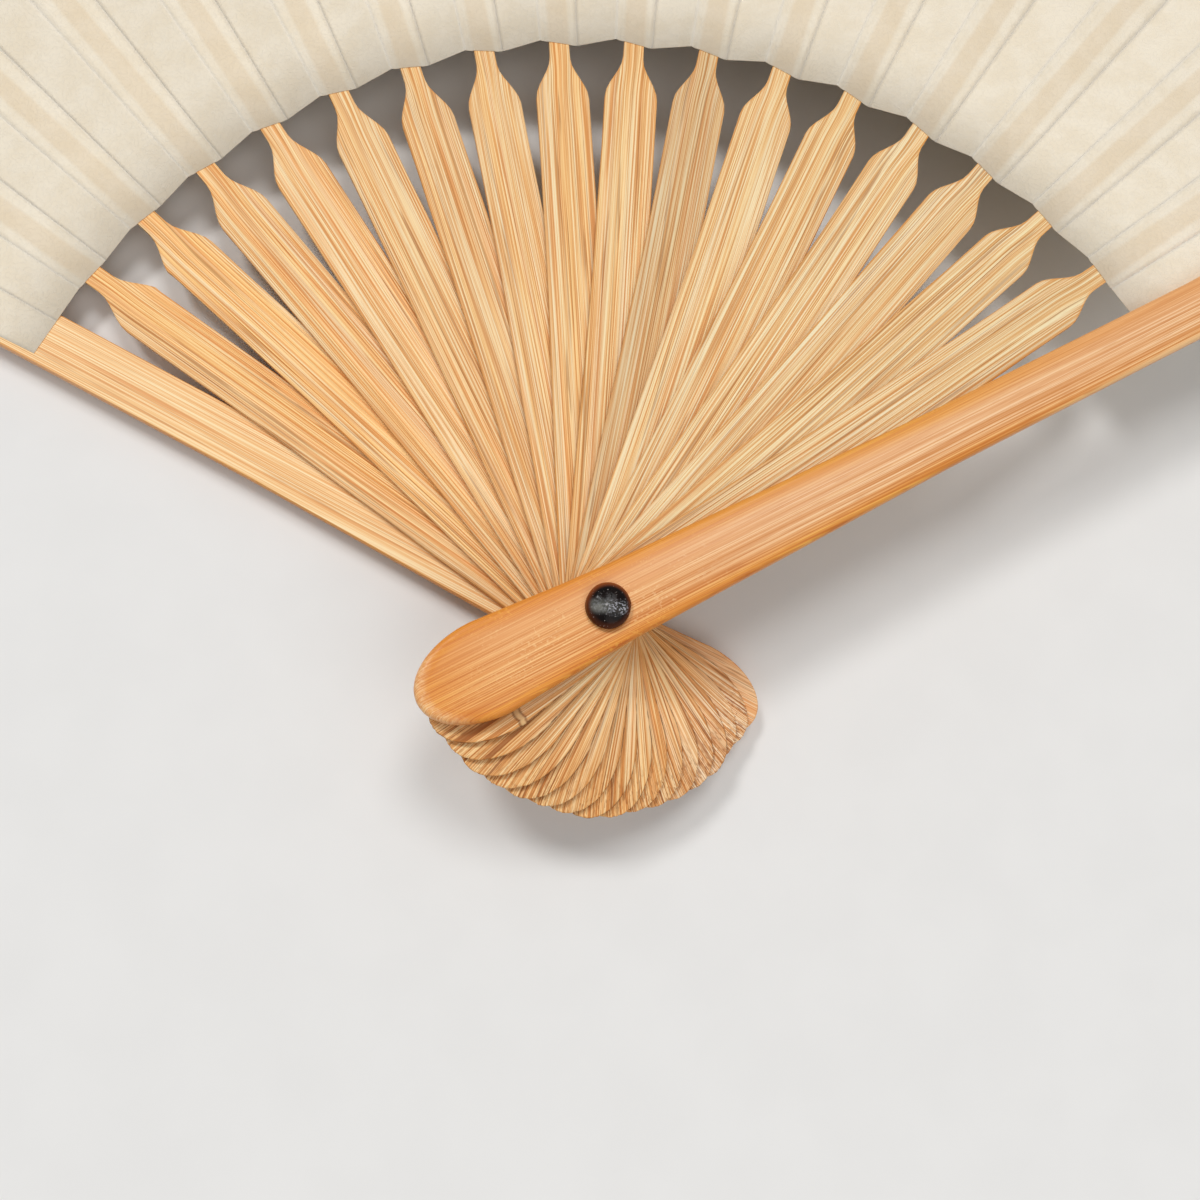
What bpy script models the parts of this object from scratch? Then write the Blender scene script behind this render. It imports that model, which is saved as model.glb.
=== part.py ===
"""Folding fan: two guards, sixteen ribs, one horn rivet and a pleated paper leaf.

Lengths are in metres. The origin lies on the pivot axis, on the flat under the rear rivet head, where the
fan rests. +Z runs up through the stack of sticks, and +Y points along the middle of the open fan.
Stick 0 is the rear guard, at the bottom of the stack, and the last stick is the front guard, on top.
"""

import math

import bmesh
import bpy
from mathutils import Matrix, Vector

MM = 0.001

# The whole fan
RIB_COUNT = 16
OPEN_ANGLE = math.radians(124.5)
TAIL_REACH = 34 * MM

# Stick widths, as half widths at distances from the pivot
TAIL_HALF_WIDTH = 7.9 * MM
TAIL_END_LENGTH = 13 * MM
PIVOT_HALF_WIDTH = 6.5 * MM
NECK_HALF_WIDTH = 5.05 * MM
NECK_REACH = 69 * MM

# Stick thicknesses and the gaps between them
GUARD_THICKNESS = 3.5 * MM
GUARD_TIP_THICKNESS = 2.2 * MM
GUARD_EDGE_RADIUS = 1.0 * MM
RIB_THICKNESS = 1.1 * MM
STICK_GAP = 0.2 * MM

# Rib blade, shoulder and stem
BLADE_REACH = 101 * MM
SHOULDER_LENGTH = 9 * MM
STEM_HALF_WIDTH = 2.0 * MM
STEM_TIP_HALF_WIDTH = 1.4 * MM
STEM_THICKNESS = 0.5 * MM
STEM_LIFT = 0.1 * MM
STEM_ROOT_INSET = 14 * MM
STEM_TIP_INSET = 5 * MM

# Guard outline over the leaf
GUARD_COVER = 1.1 * MM
GUARD_END_LENGTH = 5 * MM
GUARD_OVERHANG = 5 * MM

# Leaf
LEAF_MARGIN = 3 * MM
LEAF_DEPTH = 177 * MM
PAPER_THICKNESS = 0.25 * MM
GLUE_GAP = 0.12 * MM
CREASE_GAP = 0.2 * MM
PLEAT_TILT = math.radians(11)
TILT_STEP = math.radians(3.2)
END_TILT = math.radians(1.6)

# Rivet: the front head is a high dome, and the rear one is lower, with a flat on which the fan rests
SHANK_RADIUS = 2.0 * MM
HOLE_CLEARANCE = 0.08 * MM
HEAD_RADIUS = 3.9 * MM
FRONT_HEAD_HEIGHT = 2.4 * MM
FRONT_FLAT_RADIUS = 0.8 * MM
REAR_HEAD_HEIGHT = 1.6 * MM
REAR_FLAT_RADIUS = 1.6 * MM
HEAD_RIM_SHARE = 0.3
HEAD_FOOT_SHARE = 0.97
HEAD_GAP = 0.15 * MM

# How finely curves are drawn
ROUND_SIDES = 24
TAIL_STEPS = 12
DOME_STEPS = 6
SHOULDER_STEPS = 4
PLEAT_RADIAL_STEPS = 4
TWIST_STEPS = 4

STICK_COUNT = RIB_COUNT + 2
INTERVAL = OPEN_ANGLE / (STICK_COUNT - 1)
REAR_ANGLE = math.radians(90) + OPEN_ANGLE / 2
RIB_PITCH = RIB_THICKNESS + STICK_GAP
REAR_FLOOR = REAR_HEAD_HEIGHT + HEAD_GAP
LEAF_INNER = BLADE_REACH + SHOULDER_LENGTH + LEAF_MARGIN
LEAF_OUTER = LEAF_INNER + LEAF_DEPTH
STEM_REACH = LEAF_OUTER - STEM_TIP_INSET
GUARD_REACH = LEAF_OUTER + GUARD_OVERHANG
HOLE_RADIUS = (SHANK_RADIUS + HOLE_CLEARANCE) / math.cos(math.pi / ROUND_SIDES)


def stick_angle(index):
    """Direction of a stick in the open fan, counter-clockwise from +X."""
    return REAR_ANGLE - index * INTERVAL


def stick_floor(index):
    """Height of a stick's underside."""
    if index == 0:
        return REAR_FLOOR
    return REAR_FLOOR + GUARD_THICKNESS + STICK_GAP + (index - 1) * RIB_PITCH


STACK_TOP = stick_floor(STICK_COUNT - 1) + GUARD_THICKNESS


def pleat_tilt(index):
    """Tilt of the leaf and stem on a stick: flat on the guards, steeper towards the middle of the fan."""
    from_end = min(index, STICK_COUNT - 1 - index)
    if from_end == 0:
        return 0.0
    return min(PLEAT_TILT, END_TILT + (from_end - 1) * TILT_STEP)


def leaf_height(index):
    """Height of the middle of the paper where it crosses a stick's centre line."""
    half_paper = PAPER_THICKNESS / 2
    if index == 0:
        return REAR_FLOOR + GUARD_THICKNESS + GLUE_GAP + half_paper
    if index == STICK_COUNT - 1:
        return stick_floor(index) - GLUE_GAP - half_paper
    return stick_floor(index) + STEM_LIFT + STEM_THICKNESS + GLUE_GAP + half_paper


def smooth_step(share):
    """A share from 0 to 1 that starts and ends level."""
    share = min(max(share, 0.0), 1.0)
    return share * share * (3 - 2 * share)


def facet_half_width(reach):
    """Half the width of a leaf facet at a distance from the pivot."""
    return reach * math.tan(INTERVAL / 4)


def clear_scene():
    for item in list(bpy.data.objects):
        bpy.data.objects.remove(item, do_unlink=True)


def new_collection(name):
    collection = bpy.data.collections.new(name)
    bpy.context.scene.collection.children.link(collection)
    return collection


def new_material(name, colour, roughness):
    material = bpy.data.materials.new(name)
    material.use_nodes = True
    shader = material.node_tree.nodes["Principled BSDF"]
    shader.inputs["Base Color"].default_value = (*colour, 1.0)
    shader.inputs["Roughness"].default_value = roughness
    shader.inputs["Metallic"].default_value = 0.0
    return material


def new_object(name, mesh, collection, material=None):
    item = bpy.data.objects.new(name, mesh)
    collection.objects.link(item)
    if material:
        mesh.materials.append(material)
    return item


def mesh_from(name, builder):
    """A named mesh from a bmesh, with its faces pointing out."""
    bmesh.ops.recalc_face_normals(builder, faces=builder.faces)
    mesh = bpy.data.meshes.new(name)
    builder.to_mesh(mesh)
    builder.free()
    return mesh


def place_on_pivot(item, index):
    """Put a stick, modelled along +Y with its pivot at the origin, where it lies in the open fan."""
    item.location = (0, 0, stick_floor(index))
    item.rotation_euler = (0, 0, stick_angle(index) - math.radians(90))


def tail_half():
    """Right-hand side of the rounded tail: (across, along) from its tip to its widest point."""
    centre = -TAIL_REACH + TAIL_END_LENGTH
    points = []
    for step in range(TAIL_STEPS // 2 + 1):
        turn = math.radians(90) * step / (TAIL_STEPS // 2)
        across = TAIL_HALF_WIDTH * math.sin(turn)
        along = centre - TAIL_END_LENGTH * math.cos(turn)
        points.append((across, along))
    return points


def handle_half():
    """Right-hand side of every stick, from the tail tip past the pivot to the end of its neck."""
    return tail_half() + [(PIVOT_HALF_WIDTH, 0.0), (NECK_HALF_WIDTH, NECK_REACH)]


def rib_half():
    """Right-hand side of a rib's blade, with the shoulder that draws in to the stem."""
    points = handle_half()
    for step in range(SHOULDER_STEPS + 1):
        share = step / SHOULDER_STEPS
        width = NECK_HALF_WIDTH + (STEM_HALF_WIDTH - NECK_HALF_WIDTH) * smooth_step(share)
        points.append((width, BLADE_REACH + SHOULDER_LENGTH * share))
    return points


def guard_half():
    """Right-hand side of a guard, which widens again to cover the folded leaf and has a round end."""
    points = handle_half()
    cover_start = (NECK_HALF_WIDTH - GUARD_COVER) / math.tan(INTERVAL / 4)
    points.append((NECK_HALF_WIDTH, cover_start))
    end_start = GUARD_REACH - GUARD_END_LENGTH
    end_width = facet_half_width(end_start) + GUARD_COVER
    for step in range(SHOULDER_STEPS + 1):
        turn = math.radians(90) * step / SHOULDER_STEPS
        across = end_width * math.cos(turn)
        along = end_start + GUARD_END_LENGTH * math.sin(turn)
        points.append((across, along))
    return points


def full_outline(half):
    """Mirror a right-hand side about the stick's centre line, with points on the line kept once."""
    on_line = 1e-9
    left = [(-across, along) for across, along in reversed(half) if across > on_line]
    return half + left


def outline_solid(name, outline, thickness):
    """A flat slat: a filled 2D curve with a thickness, turned into a mesh that stands on its own floor."""
    curve = bpy.data.curves.new(name, "CURVE")
    curve.dimensions = "2D"
    curve.fill_mode = "BOTH"
    curve.extrude = thickness / 2
    spline = curve.splines.new("POLY")
    spline.points.add(len(outline) - 1)
    for point, (across, along) in zip(spline.points, outline):
        point.co = (across, along, 0, 1)
    spline.use_cyclic_u = True
    carrier = bpy.data.objects.new(name, curve)
    bpy.context.scene.collection.objects.link(carrier)
    bpy.context.view_layer.update()
    evaluated = carrier.evaluated_get(bpy.context.evaluated_depsgraph_get())
    mesh = bpy.data.meshes.new_from_object(evaluated)
    bpy.data.objects.remove(carrier, do_unlink=True)
    builder = bmesh.new()
    builder.from_mesh(mesh)
    bpy.data.meshes.remove(mesh)
    bmesh.ops.remove_doubles(builder, verts=builder.verts, dist=0.01 * MM)
    bmesh.ops.dissolve_limit(
        builder, angle_limit=math.radians(1), verts=builder.verts, edges=builder.edges
    )
    bmesh.ops.translate(builder, verts=builder.verts, vec=(0, 0, thickness / 2))
    return builder


def add_boolean(item, cutter, operation):
    modifier = item.modifiers.new(cutter.name, "BOOLEAN")
    modifier.operation = operation
    modifier.solver = "EXACT"
    modifier.object = cutter


def make_cutter(name, mesh, collection):
    cutter = new_object(name, mesh, collection)
    cutter.hide_render = True
    cutter.display_type = "WIRE"
    return cutter


def make_pivot_cutter(collection):
    """The hole that runs through every stick, wide enough for the rivet's shank to turn in."""
    builder = bmesh.new()
    bmesh.ops.create_cone(
        builder,
        cap_ends=True,
        segments=ROUND_SIDES,
        radius1=HOLE_RADIUS,
        radius2=HOLE_RADIUS,
        depth=2 * STACK_TOP,
    )
    return make_cutter("pivot_hole", mesh_from("pivot_hole", builder), collection)


def make_guard(name, index, outer_side, collection, material, hole):
    """A thick guard, thinner over the leaf, with its outer edge rounded.

    outer_side is 1 where the outer face is the top one and -1 where it is the underside.
    """
    builder = outline_solid(name, full_outline(guard_half()), GUARD_THICKNESS)
    bmesh.ops.bisect_plane(
        builder,
        geom=builder.verts[:] + builder.edges[:] + builder.faces[:],
        plane_co=(0, LEAF_INNER, 0),
        plane_no=(0, 1, 0),
    )
    outer = {
        vertex
        for vertex in builder.verts
        if outer_side * (vertex.co.z - GUARD_THICKNESS / 2) > 0
    }
    for vertex in outer:
        share = max(0.0, (vertex.co.y - LEAF_INNER) / (GUARD_REACH - LEAF_INNER))
        vertex.co.z -= outer_side * share * (GUARD_THICKNESS - GUARD_TIP_THICKNESS)
    rim = [
        edge
        for edge in builder.edges
        if outer.issuperset(edge.verts) and edge.calc_face_angle(0.0) > math.radians(60)
    ]
    bmesh.ops.bevel(
        builder, geom=rim, offset=GUARD_EDGE_RADIUS, segments=2, profile=0.5, affect="EDGES"
    )
    guard = new_object(name, mesh_from(name, builder), collection, material)
    place_on_pivot(guard, index)
    add_boolean(guard, hole, "DIFFERENCE")
    return guard


def make_stem(name, index, collection):
    """The thin stem of a rib, which twists beyond the shoulder to lie along its facet of the leaf."""
    root = BLADE_REACH - STEM_ROOT_INSET
    twist_start = BLADE_REACH + SHOULDER_LENGTH / 2
    twist_end = LEAF_INNER
    builder = bmesh.new()
    bmesh.ops.create_cube(builder, size=1.0)
    size = Vector((2 * STEM_HALF_WIDTH, STEM_REACH - root, STEM_THICKNESS))
    centre = Vector((0, (STEM_REACH + root) / 2, STEM_LIFT + STEM_THICKNESS / 2))
    bmesh.ops.scale(builder, verts=builder.verts, vec=size)
    bmesh.ops.translate(builder, verts=builder.verts, vec=centre)
    for step in range(TWIST_STEPS + 1):
        station = twist_start + (twist_end - twist_start) * step / TWIST_STEPS
        bmesh.ops.bisect_plane(
            builder,
            geom=builder.verts[:] + builder.edges[:] + builder.faces[:],
            plane_co=(0, station, 0),
            plane_no=(0, 1, 0),
        )
    middle = centre.z
    tip_narrowing = 1 - STEM_TIP_HALF_WIDTH / STEM_HALF_WIDTH
    for vertex in builder.verts:
        towards_tip = max(0.0, (vertex.co.y - twist_end) / (STEM_REACH - twist_end))
        share = smooth_step((vertex.co.y - twist_start) / (twist_end - twist_start))
        across = vertex.co.x * (1 - tip_narrowing * towards_tip)
        offset = Matrix.Rotation(share * pleat_tilt(index), 3, "Y") @ Vector(
            (across, 0, vertex.co.z - middle)
        )
        vertex.co = (offset.x, vertex.co.y, middle + offset.z)
    stem = make_cutter(name, mesh_from(name, builder), collection)
    place_on_pivot(stem, index)
    return stem


def make_rib(index, collection, helpers, material, hole):
    """A thin rib: a flat blade joined to its twisted stem, with the pivot hole through its handle."""
    name = f"rib_{index:02d}"
    builder = outline_solid(name, full_outline(rib_half()), RIB_THICKNESS)
    rib = new_object(name, mesh_from(name, builder), collection, material)
    place_on_pivot(rib, index)
    add_boolean(rib, make_stem(f"stem_{index:02d}", index, helpers), "UNION")
    add_boolean(rib, hole, "DIFFERENCE")
    return rib


def head_profile(foot, side, height, flat_radius):
    """Half section of a domed rivet head from its outer flat to its foot; side is -1 below, 1 above."""
    points = []
    rim_height = HEAD_RIM_SHARE * height
    for step in range(DOME_STEPS + 1):
        turn = math.radians(90) * step / DOME_STEPS
        radius = flat_radius + (HEAD_RADIUS - flat_radius) * math.sin(turn)
        rise = rim_height + (height - rim_height) * math.cos(turn)
        points.append((radius, foot + side * rise))
    points.append((HEAD_RADIUS * HEAD_FOOT_SHARE, foot))
    return points


def make_rivet(collection, material):
    """The horn rivet: shank and both domed heads turned as one piece."""
    top = STACK_TOP + HEAD_GAP
    bottom = REAR_HEAD_HEIGHT
    profile = [(0.0, top + FRONT_HEAD_HEIGHT)]
    profile += head_profile(top, 1, FRONT_HEAD_HEIGHT, FRONT_FLAT_RADIUS)
    profile += [(SHANK_RADIUS, top), (SHANK_RADIUS, bottom)]
    profile += list(reversed(head_profile(bottom, -1, REAR_HEAD_HEIGHT, REAR_FLAT_RADIUS)))
    profile += [(0.0, 0.0)]
    mesh = bpy.data.meshes.new("rivet")
    edges = [(i, i + 1) for i in range(len(profile) - 1)]
    mesh.from_pydata([(radius, 0, height) for radius, height in profile], edges, [])
    rivet = new_object("rivet", mesh, collection, material)
    screw = rivet.modifiers.new("turn", "SCREW")
    screw.axis = "Z"
    screw.angle = math.radians(360)
    screw.steps = ROUND_SIDES
    screw.render_steps = ROUND_SIDES
    screw.use_merge_vertices = True
    screw.merge_threshold = 0.01 * MM
    screw.use_smooth_shade = True
    return rivet


def crease_point(index, side, reach):
    """A point on a leaf crease beside a stick; side is 1 on the rear-guard side, -1 on the front-guard side."""
    direction = stick_angle(index) - math.radians(90)
    across = -side * facet_half_width(reach)
    rise = side * facet_half_width(reach) * math.tan(pleat_tilt(index))
    flat = Matrix.Rotation(direction, 3, "Z") @ Vector((across, reach, 0))
    return Vector((flat.x, flat.y, leaf_height(index) + rise))


def inset_from(point, other):
    """The point moved towards another by the gap that two pleats keep at their shared crease."""
    return point + (other - point).normalized() * CREASE_GAP


def sheet_object(name, columns, collection, material):
    """A folded sheet of paper through columns of points, one column for each crease or edge."""
    rows = len(columns[0])
    builder = bmesh.new()
    bmesh.ops.create_grid(builder, x_segments=len(columns) - 1, y_segments=rows - 1, size=1.0)
    for vertex in builder.verts:
        column = round((vertex.co.x + 1) / 2 * (len(columns) - 1))
        row = round((vertex.co.y + 1) / 2 * (rows - 1))
        vertex.co = columns[column][row]
    mesh = bpy.data.meshes.new(name)
    builder.to_mesh(mesh)
    builder.free()
    sheet = new_object(name, mesh, collection, material)
    solidify = sheet.modifiers.new("paper", "SOLIDIFY")
    solidify.thickness = PAPER_THICKNESS
    solidify.offset = 0.0
    return sheet


def radial_rows():
    return [
        LEAF_INNER + (LEAF_OUTER - LEAF_INNER) * row / PLEAT_RADIAL_STEPS
        for row in range(PLEAT_RADIAL_STEPS + 1)
    ]


def make_pleat(index, collection, material):
    """The facet glued to a stick and the free facet that folds from it to the next stick."""
    columns = [[], [], [], []]
    for reach in radial_rows():
        outer = crease_point(index, 1, reach)
        fold = crease_point(index, -1, reach)
        far = crease_point(index + 1, 1, reach)
        columns[0].append(inset_from(outer, fold))
        columns[1].append(fold)
        columns[2].append((fold + far) / 2)
        columns[3].append(inset_from(far, fold))
    return sheet_object(f"leaf_pleat_{index + 1:02d}", columns, collection, material)


def make_end_strip(collection, material):
    """The last facet of the leaf, glued under the front guard."""
    last = STICK_COUNT - 1
    columns = [[], []]
    for reach in radial_rows():
        near_side = crease_point(last, 1, reach)
        far_side = crease_point(last, -1, reach)
        columns[0].append(inset_from(near_side, far_side))
        columns[1].append(far_side)
    return sheet_object("leaf_end_strip", columns, collection, material)


def main():
    clear_scene()
    fan = new_collection("folding_fan")
    helpers = new_collection("cutters")
    varnished = new_material("varnished_bamboo", (0.72, 0.42, 0.19), 0.32)
    bamboo = new_material("plain_bamboo", (0.78, 0.49, 0.23), 0.5)
    horn = new_material("dark_horn", (0.03, 0.022, 0.018), 0.2)
    paper = new_material("leaf_paper", (0.86, 0.82, 0.70), 0.85)

    hole = make_pivot_cutter(helpers)
    make_guard("rear_guard", 0, -1, fan, varnished, hole)
    for index in range(1, RIB_COUNT + 1):
        make_rib(index, fan, helpers, bamboo, hole)
    make_guard("front_guard", STICK_COUNT - 1, 1, fan, varnished, hole)
    make_rivet(fan, horn)
    for index in range(STICK_COUNT - 1):
        make_pleat(index, fan, paper)
    make_end_strip(fan, paper)
    bpy.context.view_layer.update()
    print(f"Stack {STACK_TOP / MM:.1f} mm high, {math.degrees(INTERVAL):.3f} degrees from stick to stick")


main()
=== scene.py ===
# %% [markdown]
# # A folding fan in split bamboo
# This lesson dresses a folding fan: two thick guards, sixteen thin ribs, one horn rivet through all of them
# and a pleated paper leaf. A plain model of the same fan is loaded first. It says where each stick lies and
# how it moves, and every piece below takes the place of one of its parts. The shapes are drawn again here
# with softer edges and small faults, and each material is made of nodes.

# %% The plain model
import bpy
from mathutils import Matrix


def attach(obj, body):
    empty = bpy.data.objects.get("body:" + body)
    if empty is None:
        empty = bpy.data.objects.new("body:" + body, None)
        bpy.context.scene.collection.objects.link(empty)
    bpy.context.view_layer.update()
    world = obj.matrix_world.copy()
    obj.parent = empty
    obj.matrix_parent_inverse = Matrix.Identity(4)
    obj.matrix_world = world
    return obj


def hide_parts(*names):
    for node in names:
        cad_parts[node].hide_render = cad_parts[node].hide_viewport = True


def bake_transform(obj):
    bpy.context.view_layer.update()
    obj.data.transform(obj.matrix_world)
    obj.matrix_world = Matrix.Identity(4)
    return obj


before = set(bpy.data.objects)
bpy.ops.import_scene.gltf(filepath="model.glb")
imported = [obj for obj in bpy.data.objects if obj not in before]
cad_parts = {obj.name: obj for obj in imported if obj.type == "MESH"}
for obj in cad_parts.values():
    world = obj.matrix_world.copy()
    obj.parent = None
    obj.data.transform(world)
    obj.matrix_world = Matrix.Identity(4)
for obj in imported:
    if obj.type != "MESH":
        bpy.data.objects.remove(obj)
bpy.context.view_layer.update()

# %% Tools
from math import atan2, cos, degrees, exp, hypot, pi, radians, sin, tan
import random

import bmesh
import bpy
from mathutils import Matrix, Vector, noise

# %% [markdown]
# ## Sizes
# All the sticks of a fan share one outline up to the leaf: a round tail behind the pivot, then a long neck
# that narrows slowly. The sizes are those of the plain model, in metres. They are named once, so that a
# stick, its hole and its place in the stack can't drift apart.

# %% Sizes of the sticks
MM = 0.001
RIB_COUNT = 16
STICK_COUNT = RIB_COUNT + 2
FRONT = STICK_COUNT - 1
OPEN_ANGLE = radians(124.5)
INTERVAL = OPEN_ANGLE / FRONT

TAIL_REACH = 34 * MM
TAIL_HALF = 7.9 * MM
TAIL_END_LENGTH = 13 * MM
TAIL_CENTRE = TAIL_END_LENGTH - TAIL_REACH
PIVOT_HALF = 6.5 * MM
NECK_HALF = 5.05 * MM
NECK_REACH = 69 * MM
BLADE_REACH = 101 * MM
SHOULDER_LENGTH = 9 * MM
GUARD_THICKNESS = 3.5 * MM
GUARD_TIP_THICKNESS = 2.2 * MM
RIB_THICKNESS = 1.1 * MM
STICK_GAP = 0.2 * MM
STEM_HALF = 2.0 * MM
STEM_TIP_HALF = 1.4 * MM
STEM_THICKNESS = 0.5 * MM
STEM_LIFT = 0.1 * MM
HEAD_RADIUS = 3.9 * MM
FRONT_HEAD_HEIGHT = 2.4 * MM
REAR_HEAD_HEIGHT = 1.6 * MM
HEAD_GAP = 0.15 * MM
SHANK_RADIUS = 2.0 * MM
HOLE_RADIUS = 2.1 * MM

REAR_FLOOR = REAR_HEAD_HEIGHT + HEAD_GAP
LEAF_INNER = BLADE_REACH + SHOULDER_LENGTH + 3 * MM
LEAF_OUTER = LEAF_INNER + 177 * MM
STEM_REACH = LEAF_OUTER - 5 * MM
GUARD_REACH = LEAF_OUTER + 5 * MM
GUARD_COVER = 1.1 * MM
GUARD_END = 5 * MM
INSIDE = 0.01 * MM
print(STICK_COUNT, "sticks,", round(degrees(INTERVAL), 2), "degrees apart")
print("the guards reach", round(GUARD_REACH / MM), "mm from the pivot")


# %% Where a stick lies
def stick_turn(index):
    """Turn of a stick from the +Y axis, counter-clockwise; stick 0 is the rear guard."""
    return OPEN_ANGLE / 2 - index * INTERVAL


def stick_floor(index):
    """Height of a stick's underside in the stack."""
    if index == 0:
        return REAR_FLOOR
    return REAR_FLOOR + GUARD_THICKNESS + STICK_GAP + (index - 1) * (RIB_THICKNESS + STICK_GAP)


def mid_way(first, last, share):
    """A value between two others."""
    return first + (last - first) * share


def smooth_step(share):
    share = min(max(share, 0.0), 1.0)
    return share * share * (3 - 2 * share)


STACK_TOP = stick_floor(FRONT) + GUARD_THICKNESS
print(f"the stack of sticks ends {STACK_TOP / MM:.2f} mm above the floor")

# %% [markdown]
# ## The camera
# The photograph looks almost straight down on the handle from about 20 cm away, with a fairly wide lens.
# The camera is placed by the point it looks at, its distance and three turns, because those are the numbers
# that a match of the rivet, the guards and the tails gives.

# %% Camera
scene = bpy.context.scene
LOOK_AT = Vector((0.70, 4.38, 12.0)) * MM
DISTANCE = 195.74 * MM
TURN = -0.5293
RISE = 1.3546
ROLL = 0.5361


def add_object(name, data):
    """Put a camera, a lamp or a mesh into the scene."""
    thing = bpy.data.objects.new(name, data)
    scene.collection.objects.link(thing)
    return thing


back = Vector((
    sin(TURN) * cos(RISE),
    -cos(TURN) * cos(RISE),
    sin(RISE),
))
level = Vector((cos(TURN), sin(TURN), 0))
steep = back.cross(level)
right = level * cos(ROLL) + steep * sin(ROLL)
upward = steep * cos(ROLL) - level * sin(ROLL)

lens = bpy.data.cameras.new("camera")
lens.sensor_width = 36
lens.lens = 33
lens.clip_start = 5 * MM
camera = add_object("camera", lens)
turned = Matrix((right, upward, back)).transposed().to_4x4()
camera.matrix_world = Matrix.Translation(LOOK_AT + back * DISTANCE) @ turned
scene.camera = camera
print("camera", tuple(round(value / MM) for value in camera.location), "mm from the rivet's foot")

# %% [markdown]
# ## Wiring materials with Python sums
# A material is a graph of nodes, and most of the nodes in it only add or multiply. A small class wraps
# one output socket, so that a sum of two sockets is written as a sum. Plain values go through Math nodes.
# A Math node would turn a colour grey, so colours go through Mix nodes and vectors through Vector Math.

# %% Sockets that can be added and multiplied
class Socket:
    """An output socket of a node, with the arithmetic of a number, a vector or a colour."""

    def __init__(self, wiring, source):
        self.wiring = wiring
        self.source = source

    def work(self, operation, first, second):
        if self.source.type == "RGBA":
            settings = {"data_type": "RGBA", "blend_type": operation}
            return self.wiring.node("Mix", settings, {0: 1.0, 6: first, 7: second}, output=2)
        kind = "VectorMath" if self.source.type == "VECTOR" else "Math"
        return self.wiring.node(kind, {"operation": operation}, {0: first, 1: second})

    def __add__(self, other):
        return self.work("ADD", self, other)

    def __radd__(self, other):
        return self.work("ADD", other, self)

    def __sub__(self, other):
        return self.work("SUBTRACT", self, other)

    def __rsub__(self, other):
        return self.work("SUBTRACT", other, self)

    def __mul__(self, other):
        return self.work("MULTIPLY", self, other)

    def __rmul__(self, other):
        return self.work("MULTIPLY", other, self)

    def __abs__(self):
        return self.wiring.node("Math", {"operation": "ABSOLUTE"}, {0: self})


print("sockets add, subtract and multiply")

# %% A wiring: the nodes of one material, or of the sky
class Wiring:
    """A tree of nodes. Sums come from sockets, and every other node from node()."""

    def __init__(self, tree):
        self.tree = tree

    def set_input(self, target, value):
        if isinstance(value, Socket):
            self.tree.links.new(value.source, target)
        elif target.type in ("RGBA", "VECTOR") and isinstance(value, (int, float)):
            target.default_value = (value,) * len(target.default_value)
        else:
            target.default_value = value

    def node(self, kind, settings, sockets, output=0):
        """Add a node: first its settings, then the values or links of its sockets."""
        node = self.tree.nodes.new("ShaderNode" + kind)
        for key, value in settings.items():
            if key == "stops":
                ramp = node.color_ramp
                while len(ramp.elements) < len(value):
                    ramp.elements.new(0.5)
                for element, (position, colour) in zip(ramp.elements, value):
                    element.position = position
                    element.color = colour
            else:
                setattr(node, key, value)
        for key, value in sockets.items():
            self.set_input(node.inputs[key], value)
        return Socket(self, node.outputs[output])

    def mix(self, factor, first, second):
        """A colour between two colours."""
        return self.node("Mix", {"data_type": "RGBA"}, {0: factor, 6: first, 7: second}, output=2)

    def between(self, value, low, high):
        """0 below low, 1 above high and a soft slope between them."""
        limits = {0: value, 1: low, 2: high, 3: 0.0, 4: 1.0}
        return self.node("MapRange", {"interpolation_type": "SMOOTHSTEP"}, limits)

    def attribute(self, name):
        """A number that the mesh carries at each of its points."""
        return self.node("Attribute", {"attribute_name": name}, {}, output=2)

    def place(self):
        """Where a point lies on its own piece, in millimetres: across, along and height."""
        own = self.node("Attribute", {"attribute_name": "place"}, {}, output=1)
        split = self.node("SeparateXYZ", {}, {0: own}).source.node
        return [Socket(self, split.outputs[axis]) for axis in range(3)]

    def from_axis(self, across, along):
        """Distance of a point from the pivot axis."""
        squared = across * across + along * along
        return self.node("Math", {"operation": "POWER"}, {0: squared, 1: 0.5})

    def noise(self, across, along, height, detail=2.0, roughness=0.5):
        """Soft noise, usually from 0.3 to 0.7, at a place given in cells."""
        place = self.node("CombineXYZ", {}, {0: across, 1: along, 2: height})
        sockets = {"Vector": place, "Scale": 1.0, "Detail": detail, "Roughness": roughness}
        return self.node("TexNoise", {}, sockets)

    def bump(self, height, depth):
        """Surface relief: height runs from 0 to 1 and depth is what 1 stands for, in metres."""
        return self.node("Bump", {}, {"Distance": depth, "Height": height})


print("a wiring adds nodes to a tree")

# %% A finish: one material and the colour that is being built up
def paint(red, green, blue):
    """A colour as it is seen on a screen, from 0 to 255, as the linear values that nodes use."""
    screen = [value / 255 for value in (red, green, blue)]
    return tuple(v / 12.92 if v <= 0.04045 else ((v + 0.055) / 1.055) ** 2.4 for v in screen) + (1.0,)


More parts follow.
